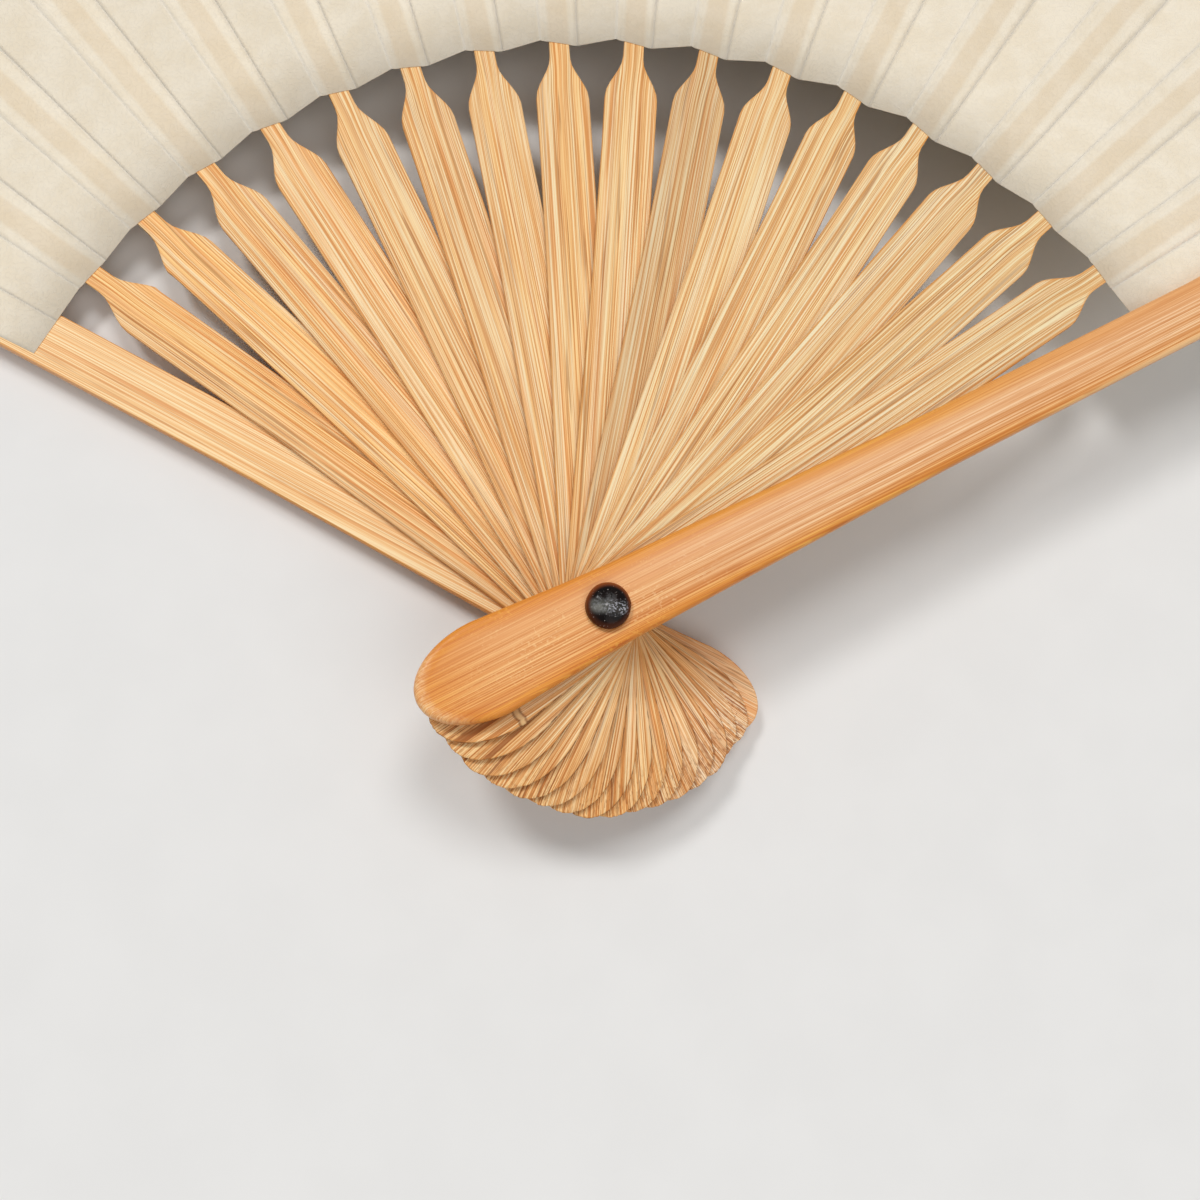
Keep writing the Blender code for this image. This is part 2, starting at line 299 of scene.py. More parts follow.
class Finish(Wiring):
    """A material being wired, and the colour that is being built up for it."""

    def __init__(self, name, **constants):
        self.material = bpy.data.materials.new(name)
        self.material.use_nodes = True
        super().__init__(self.material.node_tree)
        self.colour = None
        self.plug(constants)

    def plug(self, sockets):
        """Set or link sockets of the shader; underscores stand for the spaces in their names."""
        shader = self.tree.nodes["Principled BSDF"]
        for name, value in sockets.items():
            self.set_input(shader.inputs[name.replace("_", " ")], value)

    def shades(self, value, stops):
        """Start the colour with a ramp. A stop is a position and the red, green and blue there."""
        stops = [(position, paint(*seen)) for position, *seen in stops]
        self.colour = self.node("ValToRGB", {"stops": stops}, {0: value})

    def cover(self, share, colour):
        """Lay a colour over what is there, from 0, none of it, to 1, all of it."""
        self.colour = self.mix(share, self.colour, colour)

    def tint(self, share, colour):
        """Multiply what is there by a colour, as a stain or a clear varnish does."""
        self.cover(share, self.colour * colour)

    def wear(self, **varying):
        """Plug the colour, and what else changes over the surface, into the shader."""
        self.plug({"Base_Color": self.colour, **varying})
        print(self.material.name, "has", len(self.tree.nodes), "nodes")
        return self.material


print("a finish can be shaded, covered, tinted and worn")

# %% [markdown]
# ## The floor and the light
# The fan lies on a plain pale floor. One soft lamp at the upper left shapes the edges of the sticks, a
# weaker one at the lower right opens the shadows, and the top of the rivet mirrors a third one, overhead.
# All are suns with a wide disc, because a sun lights the whole floor evenly. With the sky they light a
# level surface at about strength 1, at which a colour is seen as it was mixed. The camera and reflections
# see a brighter sky than the one that lights, so that side views have a pale background.

# %% Floor
FLOOR_SIZE = 3.0
floor_mesh = bpy.data.meshes.new("floor")
builder = bmesh.new()
bmesh.ops.create_grid(builder, x_segments=1, y_segments=1, size=FLOOR_SIZE)
builder.to_mesh(floor_mesh)
builder.free()
floor = add_object("floor", floor_mesh)

card = Finish("pale_card", Roughness=0.9)
floor_place = card.node("TexCoord", {}, {}, output=3)
mottle = card.node("TexNoise", {}, {"Vector": floor_place, "Scale": 60.0, "Detail": 3.0})
card.colour = card.mix(card.between(mottle, 0.3, 0.7), paint(229, 228, 226), paint(231, 230, 228))
floor_mesh.materials.append(card.wear())
print("a pale floor", FLOOR_SIZE * 2, "m across")

# %% Lamps
def soft_sun(name, direction, width, strength):
    """A sun that shines from a direction; width is how wide its disc looks, in degrees."""
    lamp = bpy.data.lights.new(name, "SUN")
    lamp.angle = radians(width)
    lamp.energy = strength
    add_object(name, lamp).rotation_euler = Vector(direction).to_track_quat("Z", "Y").to_euler()


soft_sun("key_lamp", (-0.75, 0.85, 1.6), 12, 1.02)
soft_sun("fill_lamp", (0.7, -1.0, 1.5), 50, 0.78)
soft_sun("top_lamp", (0.12, 0.42, 0.90), 20, 0.89)
print("three lamps")

# %% Sky
SKY_LIGHT = 0.28
SKY_SEEN = 0.86

sky = bpy.data.worlds.new("sky")
scene.world = sky
sky.use_nodes = True
air = Wiring(sky.node_tree)
rays = air.node("LightPath", {}, {}).source.node.outputs
seen = Socket(air, rays["Is Camera Ray"])
for kind in ("Is Glossy Ray", "Is Transmission Ray"):
    seen = air.node("Math", {"operation": "MAXIMUM"}, {0: seen, 1: Socket(air, rays[kind])})
background = sky.node_tree.nodes["Background"]
background.inputs["Color"].default_value = (1, 1, 1, 1)
air.set_input(background.inputs["Strength"], seen * (SKY_SEEN - SKY_LIGHT) + SKY_LIGHT)
scene.view_settings.view_transform = "Standard"
print("a sky of", SKY_LIGHT, "that is seen as", SKY_SEEN)

# %% [markdown]
# ## Bamboo
# Split bamboo is a bundle of straight fibres. On a rib they are streaks half a millimetre wide that run
# its whole length, cream, tan and orange by turns, with thin brown threads between them. Noise makes the
# streaks: it is stretched about a hundred times along the stick, in the stick's own coordinates, so the
# grain turns with the stick. Noises of several widths are layered, and each stick has its own seed and
# tone. The threads follow the line where a noise passes through its middle value, because that line is far
# thinner than the noise itself.

# %% Fibres that ribs and guards share
SIDE_LEAN = 0.7
CONTOUR_WIDTH = 0.018


class Grain:
    """The fibre patterns of one stick, as sockets from 0 to 1."""

    def __init__(self, finish):
        self.finish = finish
        self.across, self.along, self.height = finish.place()
        self.behind = -1.0 * self.along
        self.seed = finish.attribute("seed")
        drift = finish.noise(self.along * 0.015, self.seed, 0.0, detail=1.0) - 0.5
        self.fibre = self.across + self.height * SIDE_LEAN + drift * 0.8
        self.streaks = self.fibres(1.8, 0.006, 7.3)
        self.lines = self.fibres(4.4, 0.010, 1.9)
        self.hairs = self.fibres(5.6, 0.03, 3.1)
        self.threads = self.contour(0.50, 11.7)
        self.glints = self.contour(0.60, 19.1)

    def cells(self, per_mm, along, shift, detail=1.0):
        """Noise that follows the fibres: cells to a millimetre across them and along them."""
        return self.finish.noise(self.fibre * per_mm, self.along * along, self.seed + shift, detail)

    def fibres(self, per_mm, along, shift, detail=1.0):
        """Stretched noise with its contrast raised to the whole range from 0 to 1."""
        return self.finish.between(self.cells(per_mm, along, shift, detail), 0.36, 0.64)

    def contour(self, per_mm, shift):
        """Thin lines where a stretched noise passes through its middle value; they break off at places."""
        from_middle = abs(self.cells(per_mm, 0.005, shift, detail=2.0) - 0.5)
        away = self.finish.between(from_middle, CONTOUR_WIDTH * 0.4, CONTOUR_WIDTH)
        return (1.0 - away) * self.finish.between(self.cells(0.9, 0.04, shift + 3.0), 0.40, 0.52)


print("the grain has streaks, lines, hairs, threads and glints")

# %% [markdown]
# ## Split bamboo for the ribs
# The ribs are only scraped and lightly polished, so they are satin rather than glossy. Fine lines set how
# light a fibre is, and two broader noises set its hue, from cream to amber and to peach. They multiply red
# by a little more than 1, so that an amber fibre is no darker than a pale one. Then the tone of each rib is
# laid over them: towards the front guard the ribs turn straw-coloured, and towards the rear one riper.

# %% Fibres of the ribs
AMBER = (1.08, 0.90, 0.58, 1.0)
BLUSH = (1.08, 0.88, 0.84, 1.0)
RIPE = (0.985, 0.985, 0.94, 1.0)
STRAW = (0.92, 1.05, 1.10, 1.0)
SCRAPED = (0.925, 0.97, 1.11, 1.0)

split = Finish("split_bamboo", Specular_IOR_Level=0.22)
grain = Grain(split)
front = split.attribute("front")
tail = split.between(grain.behind, 10.0, 29.0)
fibre_mix = grain.streaks * 0.05 + grain.lines * 0.38 + grain.hairs * 0.57
fibre_mix = fibre_mix + split.attribute("pale") * 0.14 + grain.glints * 0.22
split.shades(fibre_mix, (
    (0.14, 214, 146, 83),
    (0.34, 231, 173, 113),
    (0.50, 240, 192, 138),
    (0.66, 248, 209, 160),
    (0.86, 254, 227, 185),
))
hue = grain.fibres(0.9, 0.006, 41.0, detail=3.0)
amber = hue * (split.attribute("amber") * 0.5 + 0.5) * (1.0 - front * 0.7)
split.tint(amber * (1.0 - tail * (0.6 - front * 0.6)), AMBER)
blush = split.between(grain.cells(1.1, 0.006, 17.0, detail=2.0), 0.48, 0.62)
split.tint(blush * (0.34 - front * 0.12) * (1.0 - tail * 0.4), BLUSH)
split.tint((1.0 - front) * (1.0 - tail), RIPE)
split.tint(front * (1.0 - tail), STRAW)
split.tint(tail, SCRAPED)
split.tint(split.between(front, 0.15, 0.5) * tail, paint(255, 242, 210))
split.cover(grain.threads * (0.50 + tail * 0.35), paint(158, 92, 40))
print("fibres from cream to orange")

# %% [markdown]
# ## Marks on the ribs
# On the tail, where the fibres are cut through, there are brown dashes and more dark fibres. One rib is
# clearly greyer than the others. The rim, where the skin of the cane is left, is golden, and a broken dark
# line follows the round end: partly the dark skin of the cane, partly a painted shadow where one tail lies
# over the next. One rib shows a joint of the cane as a pale ring between brown ones.

# %% Marks on the ribs
NODE_BEHIND = 21.4
CUT_FIBRE = (0.74, 0.64, 0.52, 1.0)

cut_fibres = (1.0 - grain.lines) * 0.40 + (1.0 - grain.hairs) * 0.28
split.tint(cut_fibres * tail, CUT_FIBRE)
flecks = split.between(grain.cells(3.2, 0.30, 5.9), 0.60, 0.72)
split.cover(flecks * (0.10 + tail * 0.20), paint(178, 106, 48))
dashes = split.between(grain.cells(4.5, 0.9, 29.0), 0.55, 0.64) * split.between(grain.behind, 22.0, 32.0)
split.cover(dashes * (0.75 - front * 0.45), paint(146, 84, 36))
split.tint(split.attribute("grey") * (1.0 - tail * 0.8), paint(206, 196, 190))

rim = split.attribute("rim")
gold_rim = (1.0 - split.between(rim, 0.1, 0.6)) * (0.18 + front * (0.42 - tail * 0.32))
split.cover(gold_rim, paint(222, 150, 68))
# A broken dark line along the rim: partly the dark skin of the cane, partly a painted contact shadow where
# one tail lies over the next.
broken = split.noise(grain.across * 0.5, grain.along * 0.5, grain.seed + 53.0)
dark_rim_and_shadow = (1.0 - split.between(rim, 0.10, 0.34)) * (0.35 + split.between(broken, 0.38, 0.60) * 0.65)
dark_rim_and_shadow = dark_rim_and_shadow * (0.15 + split.between(grain.behind, 6.0, 16.0) * 0.75)
at_top = split.between(grain.height, 0.6, 1.0)
split.cover(dark_rim_and_shadow * at_top, paint(98, 52, 20))

wander = split.noise(grain.across * 0.6, 3.0, 0.0) * 1.6 - 0.8
from_node = abs(grain.along + NODE_BEHIND + wander)
at_node = split.attribute("node")
split.cover(at_node * (1.0 - split.between(from_node, 0.6, 1.0)) * 0.7, paint(120, 74, 38))
split.cover(at_node * (1.0 - split.between(from_node, 0.2, 0.6)) * 0.8, paint(228, 188, 132))

relief = grain.lines * 0.6 + grain.hairs * 0.4 - grain.threads * 0.4 - dashes * 0.5
split_bamboo = split.wear(
    Roughness=0.42 + grain.hairs * 0.22 + grain.threads * 0.1,
    Normal=split.bump(relief, 0.035 * MM),
)

# %% [markdown]
# ## Varnished bamboo for the guards
# The guards have a thin clear varnish: a coat layer on the shader. The wood is deeper and more golden
# towards the edges, partly where the varnish gathers and partly as painted shade, as a rounded edge would
# mirror dark surroundings. Hands have darkened the handle. One side of the slat was nearer to the skin of
# the cane, so it is calmer and paler, and the other is more orange; the paler side also carries a painted
# sheen of the varnish. The round end of the tail is paler, partly rubbed and partly a painted highlight on
# its rounded edge, and a few pale specks around the rivet are partly scuffs and partly painted glints of
# the varnish.
# Only the outer face and the sides are varnished: the face that lies against the ribs keeps the pale look
# of the split wood.

# %% Outer face of the guards
coated = Finish("varnished_bamboo", Coat_Roughness=0.28, Specular_IOR_Level=0.25)
grain = Grain(coated)
bands = grain.fibres(0.50, 0.005, 0.0)
fibre_mix = bands * 0.08 + grain.streaks * 0.10 + grain.lines * 0.40 + grain.hairs * 0.42
coated.shades(fibre_mix, (
    (0.15, 208, 138, 74),
    (0.38, 224, 162, 106),
    (0.62, 234, 181, 130),
    (0.85, 247, 207, 162),
))
coated.cover(grain.threads * 0.35, paint(196, 118, 52))
coated.cover(grain.glints * 0.35, paint(250, 212, 156))
pores = grain.cells(5.0, 0.16, 23.0)
coated.cover(coated.between(pores, 0.58, 0.68) * 0.35, paint(192, 116, 52))
handled = coated.between(grain.behind, -40.0, 12.0)
# One side gets a calm, pale peach: partly paler wood from near the cane's skin, partly a painted sheen of
# the varnish.
pale_side_and_sheen = coated.between(-1.0 * grain.across, -2.5, 3.5)
coated.cover(pale_side_and_sheen * 0.45, paint(236, 180, 130))
coated.tint((1.0 - pale_side_and_sheen) * (0.2 + handled * 0.55), (0.99, 0.94, 0.84, 1.0))
# Pale specks around the rivet: partly scuffs, partly painted glints of the varnish.
scuff_and_glint_noise = coated.noise(grain.across * 2.2, grain.along * 1.6, grain.seed + 61.0, detail=3.0)
patches = coated.noise(grain.across * 0.25, grain.along * 0.12, grain.seed)
near_rivet = 1.0 - coated.between(abs(grain.along + 4.0), 12.0, 30.0)
scuffed_and_glinting = coated.between(scuff_and_glint_noise, 0.57, 0.65) * coated.between(patches, 0.46, 0.58) * near_rivet
coated.cover(scuffed_and_glinting * 0.46, paint(252, 220, 176))
coated.tint(handled, paint(255, 240, 212))
print("the outer face, before its edges")

# %% Varnish that gathers at the edges, and painted shade there
rim = coated.attribute("rim")
lean = coated.between(grain.along, 30.0, 90.0) * 0.03 + 0.01
# Deeper, more golden edges: partly gathered varnish, partly painted shade where a rounded edge would mirror
# dark surroundings, stronger on the calm side.
pooled_and_shaded = 1.0 - coated.between(rim + grain.across * lean, 0.20, 0.95)
pooled_and_shaded = pooled_and_shaded * (1.0 - coated.between(grain.along, 60.0, 120.0) * 0.6)
# The paler round end of the tail: partly rubbed end grain, partly a painted highlight on its rounded edge.
worn_and_lit_end = coated.between(grain.behind, 26.0, 32.0) * (1.0 - coated.between(rim, 0.12, 0.45))
worn_and_lit_end = worn_and_lit_end * (0.25 + grain.hairs * 0.35 + coated.between(scuff_and_glint_noise, 0.44, 0.62) * 0.4)
coated.tint(pooled_and_shaded * (1.0 - worn_and_lit_end), paint(244, 214, 128))
coated.cover(worn_and_lit_end * 0.55, paint(248, 210, 160))
outer_face = coated.colour
print("the varnish gathers at the edges")

# %% Inner face of the guards
coated.shades(fibre_mix, (
    (0.15, 228, 162, 97),
    (0.38, 241, 189, 126),
    (0.62, 249, 209, 153),
    (0.85, 254, 228, 181),
))
coated.cover(grain.threads * 0.5, paint(192, 122, 58))
coated.cover(grain.glints * 0.5, paint(255, 236, 190))
on_tail = coated.between(grain.behind, 4.0, 16.0)
coated.tint(on_tail, paint(244, 232, 232))
coated.cover(coated.between(pores, 0.54, 0.64) * on_tail * 0.5, paint(160, 100, 50))
outside = coated.attribute("outside")
coated.cover(outside, outer_face)
relief = grain.lines * 0.5 + grain.hairs * 0.4 - grain.threads * 0.3
varnished_bamboo = coated.wear(
    Roughness=0.36 + grain.hairs * 0.16,
    Coat_Weight=outside * 0.15,
    Normal=coated.bump(relief, 0.025 * MM),
)

# %% [markdown]
# ## Horn for the rivet
# The rivet is a horn pin whose ends were softened with heat and pressed into domes. It is nearly black and
# glossy. Its uneven skin is rubbed grey in a band over the top, and the band is also a painted reflection
# of the lamps: soft and dull on one side, scratches with painted glints on the other. Painted sparkles are
# spread over the dome. The rim, found from the distance to the pivot axis, is thin and lets through some
# red-brown, partly a painted glow that is brighter on one side.

# %% Horn finish
horn = Finish("dark_horn", Specular_IOR_Level=0.09)
across, along, height = horn.place()
spread = horn.from_axis(across, along)
clouds = horn.noise(across * 0.62, along * 0.62, height * 0.62, detail=3.0)
pits = horn.noise(across * 3.2, along * 3.2, height * 3.2)
horn.colour = horn.mix(horn.between(clouds, 0.4, 0.65), paint(9, 4, 3), paint(24, 11, 8))
# A grey band over the top of the dome: partly rubbed skin, partly a painted reflection of the lamps, soft
# on one side and broken into painted glints among scratches on the other.
from_band = abs(along + across * 0.08 + 0.5)
rubbed_and_lit_band = (1.0 - horn.between(from_band, 0.2, 1.6)) * (1.0 - horn.between(spread, 2.4, 3.5))
dull_scuff_and_reflection = rubbed_and_lit_band * (0.12 + horn.between(-1.0 * across, -1.2, 1.4) * 0.38)
horn.cover(dull_scuff_and_reflection * (0.55 + horn.between(clouds, 0.36, 0.54) * 0.5), paint(152, 152, 144))
scratches_and_glints = rubbed_and_lit_band * (0.1 + horn.between(across, -1.4, 0.8) * 0.5)
horn.cover(scratches_and_glints * horn.between(pits, 0.50, 0.58), paint(206, 206, 216))
# Small bright specks over the whole dome: painted sparkles of the lamps.
horn.cover(horn.between(pits, 0.68, 0.72) * 0.6, paint(206, 198, 190))
# The red-brown rim: partly the horn's own colour where it is thin, partly a painted glow of reflected
# light, brighter on one side.
brighter_side = horn.between(along * 0.9 - across * 0.1, -2.2, 3.4)
thin_rim_and_painted_glow = horn.between(spread, 2.7, 3.75) * (0.25 + brighter_side * 0.75)
horn.cover(thin_rim_and_painted_glow * 0.85, paint(150, 74, 30))
dark_horn = horn.wear(
    Roughness=0.12 + horn.between(pits, 0.45, 0.65) * 0.12,
    Normal=horn.bump(clouds * 0.35 + pits * 0.65, 0.035 * MM),
)

# %% [markdown]
# ## Paper for the leaf
# The leaf is long-fibred ivory paper. Its folds are rubbed a little paler, the stems behind it show through
# as faint warm lines, and it has yellowed along its cut outer edge.

# %% Paper finish
sheet = Finish("leaf_paper", Roughness=0.85, Specular_IOR_Level=0.2)
across, along, height = sheet.place()
reach = sheet.from_axis(across, along)
mottle = sheet.noise(across * 0.16, along * 0.16, 0.0, detail=5.0, roughness=0.6)
fibres = sheet.noise(across * 0.9, along * 0.9, 3.0, detail=3.0)
strands = 1.0 - sheet.between(abs(fibres - 0.5), 0.0, 0.025)
fold = 1.0 - sheet.between(0.5 - abs(sheet.attribute("share") - 0.5), 0.0, 0.05)
sheet.colour = sheet.mix(sheet.between(mottle, 0.35, 0.65), paint(236, 223, 200), paint(241, 230, 210))
sheet.cover(strands * 0.30, paint(247, 240, 226))
sheet.cover(sheet.attribute("stem") * 0.28, paint(216, 186, 142))
sheet.cover(fold * 0.5, paint(248, 241, 228))
sheet.cover(sheet.between(reach, 286.0, 290.5) * 0.35, paint(205, 176, 130))
leaf_paper = sheet.wear(Normal=sheet.bump(strands * 0.4 + mottle * 0.6, 0.06 * MM))

# %% [markdown]
# ## Drawing a slat
# Every stick is a flat slat, so it starts as an outline. Each side of it is drawn on its own, so that no
# stick is perfectly even. The two halves are filled, pulled up to the thickness, and their edges are
# rounded with a bevel. An inset makes a loop of points just inside the rim, which keeps the rounding crisp
# and lets the material know where the rim is. Last, the slat is cut across wherever it will bend.

# %% Putting a piece in its place
def add_piece(mesh, finish, numbers, move=Matrix.Identity(4)):
    """A piece of the fan. Its own coordinates, and the numbers its finish reads, stay in the mesh."""
    own = mesh.attributes.new("place", "FLOAT_VECTOR", "POINT")
    own.data.foreach_set("vector", [value / MM for vertex in mesh.vertices for value in vertex.co])
    for key, values in numbers.items():
        layer = mesh.attributes.new(key, "FLOAT", "POINT")
        if not isinstance(values, list):
            values = [values] * len(mesh.vertices)
        layer.data.foreach_set("value", values)
    mesh.transform(move)
    mesh.materials.append(finish)
    piece = add_object(mesh.name, mesh)
    return piece


def mesh_from(builder, name, sharp_from=50):
    """The finished mesh, shaded smooth except at edges sharper than an angle in degrees."""
    mesh = bpy.data.meshes.new(name)
    builder.to_mesh(mesh)
    builder.free()
    mesh.shade_smooth()
    mesh.set_sharp_from_angle(angle=radians(sharp_from))
    return mesh


print("a piece keeps its own coordinates")

# %% Building a slat
HOLE_STEPS = 12
TOUCHING = 0.001 * MM
LEVEL = 0.01 * MM
FLAT_AREA = (8 * MM) ** 2


def hole_side(side):
    """Half of the pivot hole, from the tip side round to the tail side."""
    points = []
    for step in range(HOLE_STEPS + 1):
        turn = radians(90) - radians(180) * step / HOLE_STEPS
        points.append((side * HOLE_RADIUS * cos(turn), HOLE_RADIUS * sin(turn)))
    return points


def slat_builder(sides, thickness):
    """A closed slat from two lists of (across, along) points, each from the tail tip to the far tip."""
    builder = bmesh.new()
    for side, outline in zip((1, -1), sides):
        points = [(side * across, along) for across, along in outline] + hole_side(side)
        builder.faces.new([builder.verts.new((across, along, 0)) for across, along in points])
    bmesh.ops.remove_doubles(builder, verts=builder.verts, dist=TOUCHING)
    lifted = bmesh.ops.extrude_face_region(builder, geom=builder.faces[:])
    top = [item for item in lifted["geom"] if isinstance(item, bmesh.types.BMVert)]
    bmesh.ops.translate(builder, verts=top, vec=(0, 0, thickness))
    bmesh.ops.recalc_face_normals(builder, faces=builder.faces[:])
    return builder


def round_rim(builder, height, radius, steps):
    """Bevel the outline's edge at one height; the pivot hole keeps its sharp edge."""
    rim_edges = [
        edge for edge in builder.edges
        if all(abs(vertex.co.z - height) < LEVEL for vertex in edge.verts)
        and edge.calc_face_angle(0.0) > radians(50)
        and edge.verts[0].co.xy.length > 1.5 * HOLE_RADIUS
    ]
    bmesh.ops.bevel(
        builder, geom=rim_edges, offset=radius, segments=steps, profile=0.5,
        affect="EDGES", clamp_overlap=True,
    )


def inset_faces(builder, widths):
    """Loops inside the rim on both flat faces: one keeps the rounding crisp, one bounds the rim's tint."""
    for facing in (1, -1):
        for width in widths:
            flats = [face for face in builder.faces if face.normal.z * facing > 0.999]
            flats = [face for face in flats if face.calc_area() > FLAT_AREA]
            bmesh.ops.inset_region(builder, faces=flats, thickness=width, use_even_offset=True)


def cut_across(builder, stations, direction=(0, 1, 0)):
    """Cut a slat through at distances from the pivot along a direction, so that it can bend there."""
    for station in stations:
        everything = builder.verts[:] + builder.edges[:] + builder.faces[:]
        place = Vector(direction) * station
        bmesh.ops.bisect_plane(builder, geom=everything, plane_co=place, plane_no=direction)


def cut_along(builder, offsets):
    cut_across(builder, offsets, direction=(1, 0, 0))


print("a slat's hole has", 2 * HOLE_STEPS, "sides")

# %% Outlines
TAIL_POINTS = 28
EDGE_STEP = 8 * MM


def neck_width(along):
    """Half the width of a stick from the widest place of its tail to the end of its neck."""
    if along < 0:
        return mid_way(PIVOT_HALF, TAIL_HALF, along / TAIL_CENTRE)
    return mid_way(PIVOT_HALF, NECK_HALF, min(along / NECK_REACH, 1.0))


def tail_side(chance, ragged, short):
    """The round end of a tail; ragged pulls each point in at random, short makes the tail shorter."""
    points = []
    for step in range(TAIL_POINTS + 1):
        turn = radians(90) * step / TAIL_POINTS
        pull = ragged * chance.random() if step else 0.0
        across = (TAIL_HALF - pull) * sin(turn)
        along = TAIL_CENTRE - (TAIL_END_LENGTH - short - pull) * cos(turn)
        points.append((across if step else 0.0, along))
    return points


def neck_side(chance, waver, end):
    """The long edge of a stick, from its tail to a place along it, drawn in at random by up to waver."""
    points = []
    along = TAIL_CENTRE + EDGE_STEP
    while along < end - EDGE_STEP / 2:
        points.append((neck_width(along) - waver * chance.random(), along))
        along += EDGE_STEP
    return points + [(neck_width(end), end)]


print("a tail has", 2 * TAIL_POINTS, "edge points")

# %% [markdown]
# ## The ribs
# A rib is one slat: tail, neck and blade are 1.1 mm thick, then a shoulder draws it in to a thin stem that
# is glued behind the leaf. The leaf is pleated, so each stem has to twist until it lies along its pleat.
# The slat is built flat, and then every point is moved: the top is crowned a little, the stem thinned and
# twisted. Real ribs are cut by hand, so tails differ in length and their ends are a little ragged.

# %% Twist of the leaf on each stick
PLEAT_TILT = radians(11)
TILT_STEP = radians(3.2)
END_TILT = radians(1.6)


def pleat_tilt(index):
    """Tilt of the leaf on a stick: flat on the guards and steeper towards the middle of the fan."""
    from_end = min(index, FRONT - index)
    if from_end == 0:
        return 0.0
    return min(PLEAT_TILT, END_TILT + (from_end - 1) * TILT_STEP)


print("the first pleat tilts by", round(degrees(pleat_tilt(1)), 1), "degrees")

# %% Outline of a rib
RIB_EDGE = 0.16 * MM
RIM_LOOPS = (0.12 * MM, 0.7 * MM)
RIM_WIDTH = RIB_EDGE + sum(RIM_LOOPS)
CROWN = 0.05 * MM
RAGGED = 0.14 * MM
WAVER = 0.10 * MM
STEM_WAVER = 0.08 * MM
RIDGE_PLACE = -NODE_BEHIND * MM
RIDGE_HEIGHT = 0.14 * MM
RIDGE_WIDTH = 0.7 * MM
SLIM_SIDES = {(1, 0): 0.35 * MM, (2, 1): 0.35 * MM}
SLIM_FROM = 60 * MM
SHOULDER_STEPS = 6
TWIST_START = BLADE_REACH + SHOULDER_LENGTH / 2
STEM_MIDDLE = STEM_LIFT + STEM_THICKNESS / 2


def stem_width(along):
    share = max(0.0, (along - LEAF_INNER) / (STEM_REACH - LEAF_INNER))
    return mid_way(STEM_HALF, STEM_TIP_HALF, share)


def shoulder_width(share):
    """Half the width of a rib on its way from the blade to the stem."""
    return mid_way(NECK_HALF, STEM_HALF, smooth_step(share))


def rib_side(chance, short, slim):
    """One side of a rib, from the tail tip to the stem tip; slim draws in the edge of its blade."""
    points = tail_side(chance, RAGGED, short)
    for across, along in neck_side(chance, WAVER, BLADE_REACH):
        points.append((across - slim * smooth_step(along / SLIM_FROM), along))
    for step in range(1, SHOULDER_STEPS + 1):
        share = step / SHOULDER_STEPS
        points.append((shoulder_width(share), BLADE_REACH + SHOULDER_LENGTH * share))
    for along in (150 * MM, 200 * MM, 250 * MM, STEM_REACH - 1.2 * MM):
        points.append((stem_width(along) - STEM_WAVER * chance.random(), along))
    points.append((0.6 * stem_width(STEM_REACH), STEM_REACH))
    points.append((0.0, STEM_REACH))
    return points


print("the stems are", round(2 * stem_width(LEAF_INNER) / MM, 1), "mm wide where the leaf begins")

# %% Bending a rib
def rib_point(point, index, ridge):
    """Where a point of the flat slat goes on the finished rib."""
    thin = smooth_step((point.y - BLADE_REACH) / SHOULDER_LENGTH)
    share = point.z / RIB_THICKNESS
    high = mid_way(RIB_THICKNESS, STEM_LIFT + STEM_THICKNESS, thin)
    height = mid_way(STEM_LIFT * thin, high, share)
    width = neck_width(point.y) if point.y < BLADE_REACH else NECK_HALF
    height -= CROWN * share * (1 - thin) * (point.x / width) ** 2
    height += ridge * share * exp(-((point.y - RIDGE_PLACE) / RIDGE_WIDTH) ** 2)
    twist = pleat_tilt(index) * smooth_step((point.y - TWIST_START) / (LEAF_INNER - TWIST_START))
    turned = Matrix.Rotation(twist, 3, "Y") @ Vector((point.x, 0, height - STEM_MIDDLE * thin))
    return Vector((turned.x, point.y, turned.z + STEM_MIDDLE * thin))


def stick_matrix(index):
    """Turns and lifts a stick, drawn along +Y on the floor, to its place in the open fan."""
    turn = Matrix.Rotation(stick_turn(index), 4, "Z")
    return Matrix.Translation((0, 0, stick_floor(index))) @ turn


print("a rib's stem is twisted by up to", round(degrees(PLEAT_TILT)), "degrees")

# %% How far a point is from the rim
def rim_marks(builder, distance_inside, width):
    """How far each point is from the rim, from 0 on it to 1 inside."""
    distances = [distance_inside(vertex.co.x, vertex.co.y) for vertex in builder.verts]
    return [min(1.0, max(0.0, distance / width)) for distance in distances]


def inside_tail(x, y):
    """Distance of a point from the outline, near enough: the ellipse of the tail or the straight edge."""
    if y > TAIL_CENTRE:
        return neck_width(y) - abs(x)
    out = hypot(x / TAIL_HALF, (y - TAIL_CENTRE) / TAIL_END_LENGTH)
    return (1 - out) * TAIL_HALF


def inside_rib(x, y):
    if y > BLADE_REACH:
        share = (y - BLADE_REACH) / SHOULDER_LENGTH
        wide = min(shoulder_width(share), stem_width(y)) if share > 1 else shoulder_width(share)
        return wide - abs(x)
    return inside_tail(x, y)


print("the rim's tint is", round(RIM_WIDTH / MM, 2), "mm wide on a rib")

# %% Making the ribs
RIB_SEED = 300
GRAIN_STEP = 31.7
GREY_RIB = 10
GREY_SHARE = 0.45
USUAL_GREY = 0.12
PALE_RIB = 11
PALE_SHARE = 0.40
USUAL_PALE = 0.24
NODE_RIB = 16

